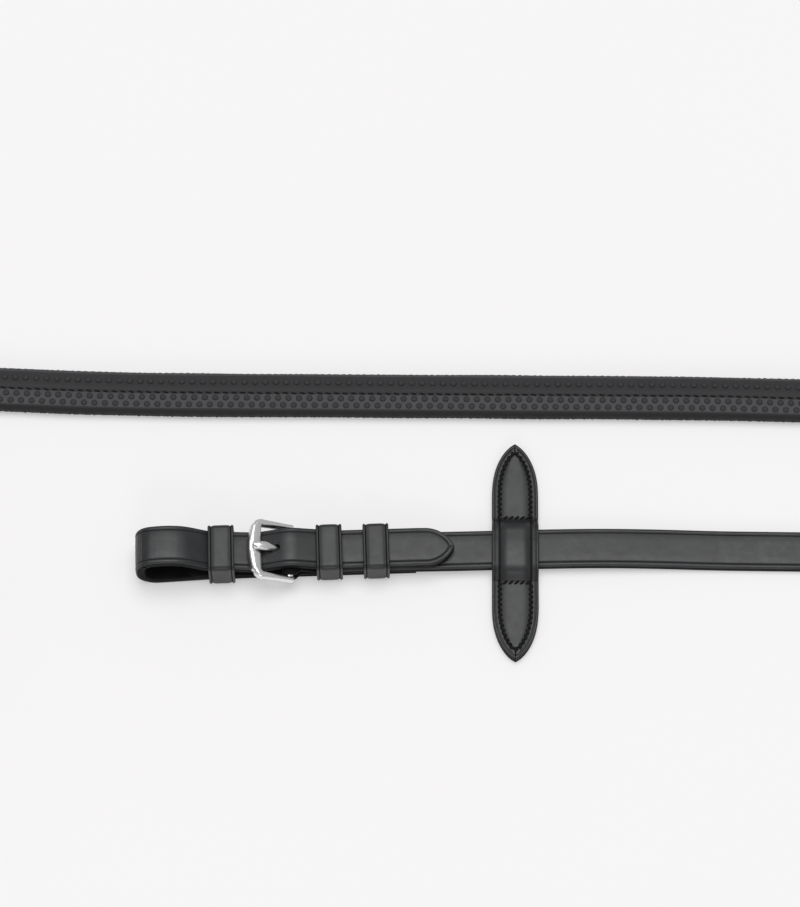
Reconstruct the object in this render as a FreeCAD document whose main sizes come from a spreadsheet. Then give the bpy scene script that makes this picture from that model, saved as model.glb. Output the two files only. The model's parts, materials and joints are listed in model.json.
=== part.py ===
import FreeCAD, Part
import math
import os

# A pair of leather riding reins with rubber grips, lying as they are put away.
#
# Each rein runs from a buckled loop for the bit, through a plain leather front strap, a rubber
# grip and a leather hand strap, to the buckle that joins the pair at the centre. The left rein
# lies out flat. Its strap turns onto its edge, comes back beside itself and ends in a wound coil
# that holds the centre buckle, from which the right rein comes out to its own flat end.
#
# Millimetres, +Z up, Z = 0 on the surface that the reins lie on. The origin is the centre of the
# whole pair as it lies, and the left rein leaves its bit loop along +X.

Vector = FreeCAD.Vector
Rotation = FreeCAD.Rotation
Placement = FreeCAD.Placement
UP = Vector(0, 0, 1)
ACROSS = Vector(0, 1, 0)
CIRCLE_STEP = math.radians(9)  # the largest turn between two sections of a bent strap
TWIST_STEPS = 8

DIMENSIONS = (
    # Straps
    ("strap_width", 16.5),
    ("strap_thick", 3.4),
    ("billet_thick", 3.8),
    ("skived_thick", 1.6),
    ("tab_thick", 1.1),
    ("grip_width", 18.6),
    ("grip_thick", 6.2),
    ("seam_width", 1.2),
    ("seam_thick", 0.3),
    # Lengths along a rein, from the tip of its bit loop
    ("rein_length", 1524.0),
    ("grip_start", 502.0),
    ("grip_length", 762.0),
    # Bit end
    ("loop_radius", 10.0),
    ("billet_tip", 127.6),
    ("point_length", 13.2),
    ("tail_end", 112.0),
    ("splice_height", 3.3),
    ("fold_end", 72.0),
    ("bar_place", 61.2),
    ("bar_height", 7.0),
    # Keepers
    ("keeper_length", 10.4),
    ("keeper_wall", 1.4),
    ("fit_gap", 0.35),
    ("front_keeper_place", 29.0),
    ("fixed_keeper_place", 72.2),
    ("slide_keeper_place", 91.0),
    ("front_keeper_height", 15.3),
    ("fixed_keeper_height", 12.9),
    ("slide_keeper_height", 12.2),
    # Buckles
    ("bar_radius", 1.7),
    ("frame_front", 17.8),
    ("frame_back", 2.2),
    ("frame_thick", 3.0),
    ("front_bar_width", 4.8),
    ("window_half", 9.3),
    ("frame_arm", 3.6),
    ("small_arm", 2.3),
    ("frame_tilt", 26.6),
    ("tongue_rise", 8.6),
    ("tongue_reach", 17.2),
    ("tongue_width", 3.0),
    ("tongue_thick", 2.2),
    ("tongue_ring", 3.0),
    ("notch_depth", 0.7),
    # Rein stop
    ("stop_place", 152.2),
    ("stop_span", 95.0),
    ("stop_width", 18.7),
    ("stop_thick", 1.7),
    ("stop_point", 19.0),
    ("stop_turn", -2.5),
    ("tunnel_half", 13.2),
    ("stitch_length", 2.2),
    ("stitch_width", 0.7),
    ("stitch_height", 0.3),
    ("stitch_pitch", 3.0),
    # The lay of the straps
    ("layout_x", 27.29),
    ("layout_y", 45.04),
    ("flat_run", 150.0),
    ("sway_radius", 1500.0),
    ("sway_angle", 2.7),
    ("second_run", 119.1),
    ("twist_length", 60.0),
    ("turn_radius", 32.57),
    ("turn_angle", 179.0),
    ("return_first", 90.0),
    ("return_first_sway", 1.3),
    ("return_second", 201.0),
    ("return_second_sway", 1.95),
    ("return_third", 26.0),
    ("return_third_sway", 1.45),
    ("coil_lead", 15.0),
    ("coil_inner", 64.0),
    ("coil_inner_gap", 16.0),
    ("coil_gap", 8.0),
    ("coil_straight", 36.0),
    ("end_run", 225.0),
    ("centre_lift", 3.4),
    # Centre buckle
    ("centre_rise", 2.0),
    ("centre_tilt", 16.0),
    ("centre_fold", 14.8),
    ("centre_point", 76.0),
    ("centre_keeper_place", 26.0),
    ("centre_slide_place", 44.0),
    ("centre_keeper_length", 8.0),
)

doc = FreeCAD.newDocument("leather_reins")
sheet = doc.addObject("Spreadsheet::Sheet", "dimensions")
for row, (alias, value) in enumerate(DIMENSIONS, start=1):
    sheet.set(f"A{row}", alias)
    sheet.set(f"B{row}", str(value))
    sheet.setAlias(f"B{row}", alias)
doc.recompute()


def dim(alias):
    """A driving dimension, as the sheet holds it."""
    return float(getattr(sheet, alias))


STRAP_HALF = dim("strap_width") / 2
STRAP_THICK = dim("strap_thick")
SPLICE = dim("splice_height")
REIN = dim("rein_length")
GRIP_START = dim("grip_start")
GRIP_END = GRIP_START + dim("grip_length")
BAR = Vector(dim("bar_place"), 0, dim("bar_height"))


# ---------------------------------------------------------------- the lay of the straps


class Leg:
    """A straight or evenly bent stretch of the route, over which a strap turns about its own length.

    The lean is the turn of the strap about its length, in radians: 0 with its grain side up.
    """

    def __init__(self, start, heading, length, turn=0.0, lean=(0.0, 0.0)):
        self.start = start
        self.heading = heading
        self.length = length
        self.turn = turn
        self.lean = lean

    def point(self, along):
        bend = self.turn / self.length
        if abs(bend) < 1e-9:
            return self.start + Vector(math.cos(self.heading), math.sin(self.heading), 0) * along
        there = self.heading + bend * along
        across = (math.sin(there) - math.sin(self.heading)) / bend
        up = (math.cos(self.heading) - math.cos(there)) / bend
        return self.start + Vector(across, up, 0)

    def heading_at(self, along):
        return self.heading + self.turn * along / self.length

    def lean_at(self, along):
        return self.lean[0] + (self.lean[1] - self.lean[0]) * along / self.length


class Route:
    """The middle line of the pair of straps, from the left bit loop's tip to the right one's."""

    def __init__(self):
        self.legs = []

    def add(self, length, turn=0.0, lean=None):
        """Another leg, tangent to the last one. It leans as the last one ended unless told."""
        if not self.legs:
            start = Vector(dim("layout_x"), dim("layout_y"), 0)
            self.legs.append(Leg(start, 0.0, length, turn, (0.0, 0.0)))
            return
        last = self.legs[-1]
        ends = (last.lean[1], last.lean[1] if lean is None else lean)
        start = last.point(last.length)
        self.legs.append(Leg(start, last.heading_at(last.length), length, turn, ends))

    def arc(self, radius, angle, lean=None):
        """A bend, to the left where the angle is positive."""
        self.add(radius * abs(angle), angle, lean)

    def length(self):
        return sum(leg.length for leg in self.legs)

    def find(self, along):
        """The leg that a distance falls in, and the distance from that leg's start."""
        for leg in self.legs:
            if along <= leg.length + 1e-6:
                return leg, along
            along -= leg.length
        return self.legs[-1], self.legs[-1].length

    def stations(self, first, last, extra=()):
        """The distances between first and last where a strap that follows the route needs a section."""
        found = [first, last, *extra]
        begin = 0.0
        for leg in self.legs:
            twists = TWIST_STEPS if leg.lean[0] != leg.lean[1] else 1
            steps = max(twists, math.ceil(abs(leg.turn) / CIRCLE_STEP))
            found += [begin + leg.length * i / steps for i in range(steps + 1)]
            begin += leg.length
        found += [knot for along, _ in LIFTS for knot in (along, 2 * REIN - along)]
        kept = []
        for along in sorted(found):
            if first - 1e-6 <= along <= last + 1e-6 and (not kept or along - kept[-1] > 0.05):
                kept.append(along)
        kept[-1] = last
        return kept


GRIP_STEP = (dim("grip_width") - dim("strap_width")) / 2
# How far a bare strap is raised off the surface, by the distance from its bit loop's tip.
LIFTS = (
    (0.0, SPLICE),
    (dim("tail_end"), SPLICE),
    (140.0, dim("stop_thick") + 0.3),
    (195.0, dim("stop_thick") + 0.3),
    (225.0, 0.0),
    (400.0, 0.0),
    (GRIP_START, GRIP_STEP),
    (GRIP_END, GRIP_STEP),
    (REIN - 24.0, dim("centre_lift")),
    (REIN, dim("centre_lift")),
)


def lift(along):
    """How far a bare strap is raised at a distance from its own bit loop's tip."""
    for (a, low), (b, high) in zip(LIFTS, LIFTS[1:]):
        if along <= b:
            return low + (high - low) * (along - a) / (b - a)
    return LIFTS[-1][1]


def lay_out():
    """The route: flat run, turn, flat return run, coil wound double, and the right rein's flat end."""
    route = Route()
    edge = math.pi / 2
    route.add(dim("flat_run"))
    route.arc(dim("sway_radius"), -math.radians(dim("sway_angle")))
    route.add(dim("second_run"))
    route.add(dim("twist_length"), lean=edge)
    route.arc(dim("turn_radius"), math.radians(dim("turn_angle")))
    route.add(dim("twist_length"), lean=2 * edge)
    route.add(dim("return_first"))
    route.arc(dim("sway_radius"), math.radians(dim("return_first_sway")))
    route.add(dim("return_second"))
    route.arc(dim("sway_radius"), -math.radians(dim("return_second_sway")))
    route.add(dim("return_third"))
    route.add(dim("twist_length"), lean=3 * edge)
    route.arc(dim("sway_radius"), math.radians(dim("return_third_sway")))
    route.add(dim("coil_lead"))
    inner, gap = dim("coil_inner"), dim("coil_gap")
    crossings = [inner, inner + dim("coil_inner_gap"), inner + 2 * dim("coil_inner_gap")]
    crossings.append(crossings[-1] + gap)
    radii = [inner / 2] + [(a + b) / 2 for a, b in zip(crossings, crossings[1:])]
    straight = dim("coil_straight")
    inside = 2 * math.pi * sum(radii[:-1]) + 7 * straight
    after = dim("twist_length") + dim("end_run")
    part_turn = (2 * REIN - route.length() - inside - after) / (2 * radii[-1])
    route.arc(radii[-1], part_turn)
    for radius in reversed(radii[:-1]):
        route.add(straight)
        route.arc(radius, math.pi)
    route.add(straight)
    for radius in radii[:-1]:
        route.arc(radius, -math.pi)
        route.add(straight)
    route.arc(radii[-1], -part_turn)
    route.add(dim("twist_length"), lean=4 * edge)
    route.add(dim("end_run"))
    return route


ROUTE = lay_out()


def half_height(width, thick, lean):
    """Half the height of a section of that width and thickness, turned by lean."""
    return abs(math.sin(lean)) * width / 2 + abs(math.cos(lean)) * thick / 2


def axes_at(along):
    """(middle of the strap, its heading, its across direction, its grain direction) there."""
    leg, rest = ROUTE.find(along)
    heading, lean = leg.heading_at(rest), leg.lean_at(rest)
    from_tip = min(along, 2 * REIN - along)
    if GRIP_START < from_tip < GRIP_END:
        height = half_height(dim("grip_width"), dim("grip_thick"), lean)
    else:
        height = half_height(dim("strap_width"), STRAP_THICK, lean) + lift(from_tip)
    ahead = Vector(math.cos(heading), math.sin(heading), 0)
    left = Vector(-math.sin(heading), math.cos(heading), 0)
    across = left * math.cos(lean) + UP * math.sin(lean)
    grain = UP * math.cos(lean) - left * math.sin(lean)
    return leg.point(rest) + UP * height, ahead, across, grain


def place_at(along):
    """The placement whose X runs along the strap and whose Z is its grain direction, at its middle."""
    middle, ahead, across, grain = axes_at(along)
    return Placement(middle, Rotation(ahead, across, grain, "ZXY"))


def bit_end(side):
    """The placement of a rein's bit end: X from the loop's tip along the strap, Z = 0 below it."""
    if side == "left":
        return Placement(Vector(dim("layout_x"), dim("layout_y"), 0), Rotation())
    middle, ahead, _, _ = axes_at(2 * REIN)
    turned = Rotation(UP, math.degrees(math.atan2(-ahead.y, -ahead.x)))
    return Placement(Vector(middle.x, middle.y, 0), turned)


def ribbon(label, first, last, outline, extra=()):
    """A solid that follows the route, lofted through sections. outline(along) gives the corners
    of the section, as (across, grain) distances from the strap's middle."""
    wires = []
    for along in ROUTE.stations(first, last, extra):
        inside = min(max(along, first + 1e-4), last - 1e-4)
        middle, _, across, grain = axes_at(inside)
        corners = [middle + across * a + grain * g for a, g in outline(along)]
        wires.append(Part.makePolygon(corners + corners[:1]))
    piece = doc.addObject("Part::Feature", label)
    piece.Label = label
    piece.Shape = Part.makeLoft(wires, True, True)
    return piece


def block(half_width, low, high):
    """The corners of a rectangular section."""
    return [(-half_width, low), (half_width, low), (half_width, high), (-half_width, high)]


# ---------------------------------------------------------------- flat outlines


def arc_through(a, b, c):
    return Part.Arc(a, b, c)


def path_side(points, radii, offset):
    """One side of a strip: lines and arcs beside the runs between the points, left by offset."""
    edges = []
    ahead = [(b - a).normalize() for a, b in zip(points, points[1:])]
    left = [Vector(-d.y, d.x, 0) for d in ahead]
    here = points[0] + left[0] * offset
    for i, radius in enumerate(radii, start=1):
        turn = math.atan2(ahead[i - 1].cross(ahead[i]).z, ahead[i - 1].dot(ahead[i]))
        reach = radius * math.tan(abs(turn) / 2)
        centre = points[i] - ahead[i - 1] * reach + left[i - 1] * math.copysign(radius, turn)
        outward = (points[i] - centre).normalize()
        begin = points[i] - ahead[i - 1] * reach + left[i - 1] * offset
        middle = centre + outward * (radius - math.copysign(offset, turn) * math.copysign(1, offset))
        if offset == 0:
            middle = centre + outward * radius
        end = points[i] + ahead[i] * reach + left[i] * offset
        if (begin - here).Length > 1e-6:
            edges.append(Part.LineSegment(here, begin))
        edges.append(arc_through(begin, middle, end))
        here = end
    edges.append(Part.LineSegment(here, points[-1] + left[-1] * offset))
    return edges


def strip(points, radii, thick):
    """A face of even thickness whose middle follows the points, with an arc at each corner."""
    one = path_side(points, radii, thick / 2)
    other = path_side(points, radii, -thick / 2)
    caps = [
        Part.LineSegment(one[0].StartPoint, other[0].StartPoint),
        Part.LineSegment(one[-1].EndPoint, other[-1].EndPoint),
    ]
    edges = [curve.toShape() for curve in one + other + caps]
    return Part.Face(Part.Wire(Part.__sortEdges__(edges)))


def polygon_face(points):
    corners = [Vector(x, y, 0) for x, y in points]
    return Part.Face(Part.makePolygon(corners + corners[:1]))


def sketch_geometry(wire):
    """A wire's edges as sketch lines and arcs."""
    found = []
    for edge in wire.OrderedEdges:
        a, b = edge.valueAt(edge.FirstParameter), edge.valueAt(edge.LastParameter)
        if isinstance(edge.Curve, Part.Line):
            found.append(Part.LineSegment(a, b))
        else:
            middle = edge.valueAt((edge.FirstParameter + edge.LastParameter) / 2)
            found.append(arc_through(a, middle, b))
    return found


def origin_plane(body, role):
    return next(f for f in body.Origin.OriginFeatures if f.Role == role)


def new_sketch(body, label, role, face):
    """A sketch of a face's outlines on one of the body's own origin planes."""
    sketch = body.newObject("Sketcher::SketchObject", label)
    sketch.AttachmentSupport = [(origin_plane(body, role), "")]
    sketch.MapMode = "FlatFace"
    for wire in face.Wires:
        sketch.addGeometry(sketch_geometry(wire))
    return sketch


def padded(label, role, face, length, midplane=True):
    """A body with one pad of a face's outline, its length bound to a cell of the sheet."""
    body = doc.addObject("PartDesign::Body", label)
    body.Label = label
    pad = body.newObject("PartDesign::Pad", label + "_pad")
    pad.Profile = new_sketch(body, label + "_outline", role, face)
    pad.Midplane = midplane
    pad.setExpression("Length", f"{sheet.Name}.{length}")
    body.Tip = pad
    return body


def pocketed(body, label, role, face):
    """A cut right through a body, both ways from its origin plane."""
    pocket = body.newObject("PartDesign::Pocket", label)
    pocket.Profile = new_sketch(body, label + "_outline", role, face)
    pocket.Type = "ThroughAll"
    pocket.Midplane = True
    body.Tip = pocket


def box(label, corner, sizes):
    """A box whose three sizes are expressions of the sheet's cells."""
    piece = doc.addObject("Part::Box", label)
    for side, expression in zip(("Length", "Width", "Height"), sizes):
        piece.setExpression(side, in_sheet(expression))
    piece.Placement.Base = Vector(*corner)
    return piece


def in_sheet(expression):
    """An expression with each alias in it written as a cell of the sheet."""
    words = expression.split()
    known = {alias for alias, _ in DIMENSIONS}
    return " ".join(f"{sheet.Name}.{word}" if word in known else word for word in words)


def bar_along_y(label, radius, half_length):
    """A round bar across the strap, centred on the origin."""
    piece = doc.addObject("Part::Cylinder", label)
    piece.setExpression("Radius", in_sheet(radius))
    piece.Height = 2 * half_length
    piece.Placement = Placement(Vector(0, -half_length, 0), Rotation(Vector(1, 0, 0), -90))
    return piece


def cut(label, base, tool, place=None):
    piece = doc.addObject("Part::Cut", label)
    piece.Label = label
    piece.Base = base
    piece.Tool = tool
    if place is not None:
        piece.Placement = place
    return piece


def fused(label, *shapes):
    piece = doc.addObject("Part::MultiFuse", label)
    piece.Label = label
    piece.Shapes = list(shapes)
    piece.Refine = True
    return piece


# ---------------------------------------------------------------- straps


def grip_outline(half, low, high):
    """A grip's section, with its long edges rounded off by a chamfer."""
    c = 1.2
    return [
        (-half + c, low),
        (half - c, low),
        (half, low + c),
        (half, high - c),
        (half - c, high),
        (-half + c, high),
        (-half, high - c),
        (-half, low + c),
    ]


def span(side, first, last):
    """Two distances from a rein's bit loop, as distances along the whole route."""
    return (first, last) if side == "left" else (2 * REIN - last, 2 * REIN - first)


def tangent_point(centre, radius, outside, sign):
    """Where a line from a point outside a circle touches it. sign picks the side."""
    to = outside - centre
    angle = math.atan2(to.y, to.x) + sign * math.acos(radius / to.Length)
    return centre + Vector(math.cos(angle), math.sin(angle), 0) * radius


def drop_outline(centre, radius, upper, lower):
    """A closed outline round a circle's left side, narrowing to the line from upper to lower."""
    top = tangent_point(centre, radius, upper, 1)
    bottom = tangent_point(centre, radius, lower, -1)
    edges = [
        arc_through(top, centre - Vector(radius, 0, 0), bottom),
        Part.LineSegment(bottom, lower),
        Part.LineSegment(upper, top),
    ]
    if (upper - lower).Length > 1e-6:
        edges.append(Part.LineSegment(lower, upper))
    return Part.Wire(Part.__sortEdges__([edge.toShape() for edge in edges]))


def bar_fold(label, bar_x, bar_z, end_x, low, high, place):
    """The thinned end of a strap, turned round a buckle's bar and sewn back, with the tongue's slot."""
    centre = Vector(bar_x, bar_z, 0)
    hole = dim("bar_radius") + 0.25
    skin = 1.5
    outer = drop_outline(centre, hole + skin, Vector(end_x, high, 0), Vector(end_x, low, 0))
    tip = Vector(end_x - 6, (low + high) / 2, 0)
    inner = drop_outline(centre, hole, tip, tip)
    body = padded(label, "XZ_Plane", Part.Face(outer).cut(Part.Face(inner)), "strap_width")
    slot_end = bar_x + hole + skin
    slot = polygon_face([(bar_x - 8, -2.1), (slot_end, -2.1), (slot_end, 2.1), (bar_x - 8, 2.1)])
    pocketed(body, label + "_slot", "XY_Plane", slot)
    body.Placement = place
    return body


def front_strap(side):
    """The leather from the bit buckle's bar to the grip."""
    label = f"{side}_front_strap"
    high = SPLICE + STRAP_THICK
    bar = (BAR.x, BAR.z, dim("fold_end"), SPLICE, high)
    fold = bar_fold(label + "_fold", *bar, bit_end(side))
    first, last = span(side, dim("fold_end"), GRIP_START)
    section = block(STRAP_HALF, -STRAP_THICK / 2, STRAP_THICK / 2)
    run = ribbon(label + "_run", first, last, lambda along: section)
    return fused(label, fold, run)


def grip_core(side):
    """The strap inside a grip."""
    section = block(STRAP_HALF, -STRAP_THICK / 2, STRAP_THICK / 2)
    return ribbon(f"{side}_grip_core", *span(side, GRIP_START, GRIP_END), lambda along: section)


def grip_cover(side):
    """The rubber sleeve round a grip's core."""
    label = f"{side}_grip_cover"
    first, last = span(side, GRIP_START, GRIP_END)
    half, thick = dim("grip_width") / 2, dim("grip_thick") / 2
    outer = ribbon(label + "_outside", first, last, lambda along: grip_outline(half, -thick, thick))
    section = block(STRAP_HALF, -STRAP_THICK / 2, STRAP_THICK / 2)
    inner = ribbon(label + "_inside", first, last, lambda along: section)
    return cut(label, outer, inner)


def grip_seam(side):
    """The line of thread that closes a grip's rubber along its flesh side."""
    first, last = span(side, GRIP_START, GRIP_END)
    low = -dim("grip_thick") / 2
    section = block(dim("seam_width") / 2, low - dim("seam_thick"), low)
    return ribbon(f"{side}_grip_seam", first, last, lambda along: section)


def hand_strap_left():
    """The left rein's end: through the centre buckle, over its bar and on to a pointed tip."""
    half = STRAP_THICK / 2
    over = dim("centre_rise") + dim("bar_radius") + 0.25 + 1.5 + 0.2
    steps = (
        (REIN - 30.0, -half),
        (REIN - 13.0, 0.3),
        (REIN - 3.0, over),
        (REIN + 2.0, over),
        (REIN + dim("centre_fold") + 1, half + 0.2),
        (REIN + dim("centre_point"), half + 0.2),
    )
    tip_start = REIN + dim("centre_point") - 14.0

    def section(along):
        low = steps[0][1]
        for (a, start), (b, end) in zip(steps, steps[1:]):
            if a < along:
                low = start + (end - start) * min(1.0, (along - a) / (b - a))
        width = STRAP_HALF
        if along > tip_start:
            past = (along - tip_start) / 14.0
            width = STRAP_HALF * math.sqrt(max(0.02, 1 - past * past))
        return block(width, low, low + STRAP_THICK)

    extra = [along for along, _ in steps] + [tip_start + 14.0 * k / 7 for k in range(8)]
    last = REIN + dim("centre_point")
    run = ribbon("left_hand_strap_run", GRIP_END, last, section, extra)
    hole = box("centre_tongue_hole", (-12.0, -1.9, -4.0), ("11.2", "3.8", "16"))
    hole.Placement = place_at(REIN).multiply(hole.Placement)
    return cut("left_hand_strap", run, hole)


def hand_strap_right():
    """The right rein's hand strap, its end turned round the centre buckle's bar."""
    half = STRAP_THICK / 2
    bar = (0.0, dim("centre_rise"), dim("centre_fold"), -half, half)
    fold = bar_fold("right_hand_strap_fold", *bar, place_at(REIN))
    section = block(STRAP_HALF, -half, half)
    first, last = REIN + dim("centre_fold"), 2 * REIN - GRIP_END
    run = ribbon("right_hand_strap_run", first, last, lambda along: section)
    return fused("right_hand_strap", fold, run)


def billet_profile():
    """The side view of the strap that forms the bit loop: tail, loop and pointed end."""
    thick = dim("billet_thick")
    radius = dim("loop_radius") - thick / 2
    middle = dim("loop_radius")
    low = SPLICE - dim("skived_thick")
    lap = SPLICE + STRAP_THICK + thick / 2 + 0.02
    square = radius * 0.62  # takes the loop's corners in to the height and length it has
    points = [
        (30.0, low + thick / 2),
        (middle - 3.2, thick / 2 - 0.13),
        (thick / 2 - 0.1, middle - square),
        (thick / 2 - 0.1, middle + square - 0.6),
        (middle - 3.0, 2 * middle - thick / 2 + 0.1),
        (18.2, 2 * middle - thick / 2 - 0.9),
        (29.2, 11.4),
        (48.5, 9.0),
        (61.5, 13.2),
        (74.0, lap),
        (dim("tail_end"), lap),
        (dim("billet_tip"), lap - 0.65),
    ]
    radii = [6.0, 6.0, 6.0, 6.0, 8.0, 14.0, 16.0, 10.0, 12.0, 20.0]
    run = strip([Vector(x, z, 0) for x, z in points], radii, thick)
    end = dim("tail_end")
    tail = polygon_face([(30.0, low), (end, low), (end, SPLICE), (52.0, SPLICE), (30.0, low + thick)])
    return run.fuse(tail).removeSplitter().Faces[0]


def billet(side):
    """The buckled strap of a bit end, with its tongue hole and its rounded point."""
    label = f"{side}_billet"
    body = padded(label, "XZ_Plane", billet_profile(), "strap_width")
    hole = polygon_face([(50.0, -1.9), (60.6, -1.9), (60.6, 1.9), (50.0, 1.9)])
    tip, length = dim("billet_tip"), dim("point_length")
    bulge = (length**2 + STRAP_HALF**2) / (2 * STRAP_HALF)
    corners = []
    for sign in (1, -1):
        start = Vector(tip - length, sign * STRAP_HALF, 0)
        angle = math.asin(length / bulge) / 2
        middle = Vector(
            tip - length + bulge * math.sin(angle),
            sign * (STRAP_HALF - bulge + bulge * math.cos(angle)),
            0,
        )
        end = Vector(tip, 0, 0)
        beyond = Vector(tip + 2, 0, 0)
        outer = Vector(tip + 2, sign * (STRAP_HALF + 1), 0)
        back = Vector(tip - length, sign * (STRAP_HALF + 1), 0)
        edges = [arc_through(start, middle, end).toShape()]
        ring = [end, beyond, outer, back, start]
        edges += [Part.LineSegment(a, b).toShape() for a, b in zip(ring, ring[1:])]
        corners.append(Part.Face(Part.Wire(Part.__sortEdges__(edges))))
    point_cut = corners[0].fuse(corners[1]).removeSplitter()
    pocketed(body, label + "_hole", "XY_Plane", hole)
    pocketed(body, label + "_point", "XY_Plane", point_cut)
    body.Placement = bit_end(side)
    return body


def loop_tab(side):
    """The thin lining on the lower run of the loop, under the front keeper."""
    low = SPLICE - dim("skived_thick") + dim("billet_thick")
    thick = dim("tab_thick")
    slope = (low - SPLICE) / 22.0
    points = [(19.0, low - 0.75), (30.0, low + 0.02), (49.0, low + 0.02 - 19.0 * slope)]
    top = [(x, z + thick) for x, z in reversed(points)]
    body = padded(f"{side}_loop_tab", "XZ_Plane", polygon_face(points + top), "strap_width")
    body.Placement = bit_end(side)
    return body


def keeper(label, start, length, height, place, low=0.0):
    """A leather band round the straps."""
    wall, gap = dim("keeper_wall"), dim("fit_gap")
    half = STRAP_HALF + gap + wall
    wide = "strap_width + 2 * ( fit_gap + keeper_wall )"
    outer = box(label + "_outside", (start, -half, low), (length, wide, height))
    inner = box(
        label + "_inside",
        (start - 1, wall - half, low + wall),
        (f"{length} + 2", "strap_width + 2 * fit_gap", f"{height} - 2 * keeper_wall"),
    )
    return cut(label, outer, inner, place)


# ---------------------------------------------------------------- buckles


def turned_about_bar(place, bar, tilt):
    """The placement of a piece that turns about a buckle's bar."""
    return place.multiply(Placement(bar, Rotation(ACROSS, tilt)))


def buckle_frame(label, arm, tilt, place, bar):
    """A flat buckle frame: a notched front bar, two arms and the round bar that the strap holds."""
    front, back = dim("frame_front"), dim("frame_back")
    thick, window = dim("frame_thick") / 2, dim("window_half")
    half = window + dim(arm)
    wide = f"2 * ( window_half + {arm} )"
    plate = box(label + "_plate", (-front, -half, -thick), ("frame_front + frame_back", wide, "frame_thick"))
    window_start = dim("front_bar_width") - front
    opening = box(
        label + "_window",
        (window_start, -window, -2 * thick),
        ("frame_front + frame_back - front_bar_width + 1", "2 * window_half", "2 * frame_thick"),
    )
    notch = box(
        label + "_notch",
        (-front - 1, -2.0, thick - dim("notch_depth")),
        ("front_bar_width + 2", "4", "frame_thick"),
    )
    bar_piece = bar_along_y(label + "_bar", "bar_radius", half - 0.6)
    arms = cut(label + "_arms", plate, fused(label + "_holes", opening, notch))
    piece = fused(label, arms, bar_piece)
    piece.Placement = turned_about_bar(place, bar, dim(tilt))
    return piece


def buckle_tongue(label, tilt, place, bar):
    """A tongue: a ring on the buckle's bar and a straight prong that rests in the front bar's notch."""
    half, thick = dim("tongue_width") / 2, dim("tongue_thick") / 2
    ring = bar_along_y(label + "_ring", "tongue_ring", half)
    sizes = ("tongue_reach - 1.5", "tongue_width", "tongue_thick")
    prong = box(label + "_prong", (-dim("tongue_reach"), -half, -thick), sizes)
    bore = bar_along_y(label + "_bore", "bar_radius + 0.15", half + 1)
    piece = cut(label, fused(label + "_solid", ring, prong), bore)
    piece.Placement = turned_about_bar(place, bar, dim(tilt) + dim("tongue_rise"))
    return piece


# ---------------------------------------------------------------- rein stop


def lozenge(inset=0.0):
    """The outline of a rein stop seen from above: parallel sides and a rounded point at each end."""
    half = dim("stop_width") / 2 - inset
    tip = dim("stop_span") / 2 - 1.15 * inset
    start = tip - dim("stop_point")
    radius = (dim("stop_point") ** 2 + half**2) / (2 * half)
    angle = math.asin(dim("stop_point") / radius) / 2
    middle = Vector(half - radius + radius * math.cos(angle), start + radius * math.sin(angle), 0)
    edges = []
    for x in (1, -1):
        edges.append(Part.LineSegment(Vector(x * half, -start, 0), Vector(x * half, start, 0)))
        for y in (1, -1):
            a, b = Vector(x * half, y * start, 0), Vector(0, y * tip, 0)
            edges.append(arc_through(a, Vector(x * middle.x, y * middle.y, 0), b))
    return Part.Face(Part.Wire(Part.__sortEdges__([edge.toShape() for edge in edges])))


def stop_placement(side):
    """A stop lies nearly square across its strap."""
    across = Placement(Vector(dim("stop_place"), 0, 0), Rotation(UP, dim("stop_turn")))
    return bit_end(side).multiply(across)


def stop_back(side):
    """The flat leather of a rein stop, under the strap."""
    body = padded(f"{side}_stop_back", "XY_Plane", lozenge(), "stop_thick", midplane=False)
    body.Placement = stop_placement(side)
    return body


def stop_top(side):
    """The upper leather of a rein stop, arched over the strap between its two sewn ends."""
    label = f"{side}_stop_top"
    thick = dim("stop_thick")
    foot = 1.5 * thick
    crown = foot + STRAP_THICK + 2 * 0.3
    half, end = dim("tunnel_half"), dim("stop_span") / 2 + 1
    shoulder = STRAP_HALF + 1.5
    points = [(-end, foot), (-half, foot), (-shoulder, crown), (shoulder, crown), (half, foot), (end, foot)]
    face = strip([Vector(y, z, 0) for y, z in points], [2.0, 2.0, 2.0, 2.0], thick)
    arch = padded(label + "_arch", "YZ_Plane", face, "stop_width")
    plan = padded(label + "_plan", "XY_Plane", lozenge(), "stop_width", midplane=False)
    piece = doc.addObject("Part::Common", label)
    piece.Label = label
    piece.Base = arch
    piece.Tool = plan
    piece.Placement = stop_placement(side)
    return piece


def stitch_places(wire, pitch):
    """Evenly spaced (point, heading) pairs round a closed wire."""
    count = round(wire.Length / pitch)
    points = wire.discretize(Number=count + 1)
    return [((a + b) * 0.5, math.atan2((b - a).y, (b - a).x)) for a, b in zip(points, points[1:])]


def stop_stitching(side):
    """The saddle stitches of a rein stop: a closed line of thread round each sewn field."""
    long, wide, high = (dim(f"stitch_{word}") for word in ("length", "width", "height"))
    field = lozenge(3.3)
    edge = dim("tunnel_half") + 1.2
    band = polygon_face([(-20, -edge), (20, -edge), (20, edge), (-20, edge)])
    stitches = []
    for part in field.cut(band).Faces:
        for middle, heading in stitch_places(part.OuterWire, dim("stitch_pitch")):
            stitch = Part.makeBox(long, wide, high, Vector(-long / 2, -wide / 2, 0))
            turned = Rotation(UP, math.degrees(heading))
            stitch.Placement = Placement(middle + UP * 2 * dim("stop_thick"), turned)
            stitches.append(stitch)
    label = f"{side}_stop_stitching"
    piece = doc.addObject("Part::Feature", label)
    piece.Label = label
    piece.Shape = Part.makeCompound(stitches)
    piece.Placement = stop_placement(side)
    return piece


# ---------------------------------------------------------------- assembly


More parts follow.
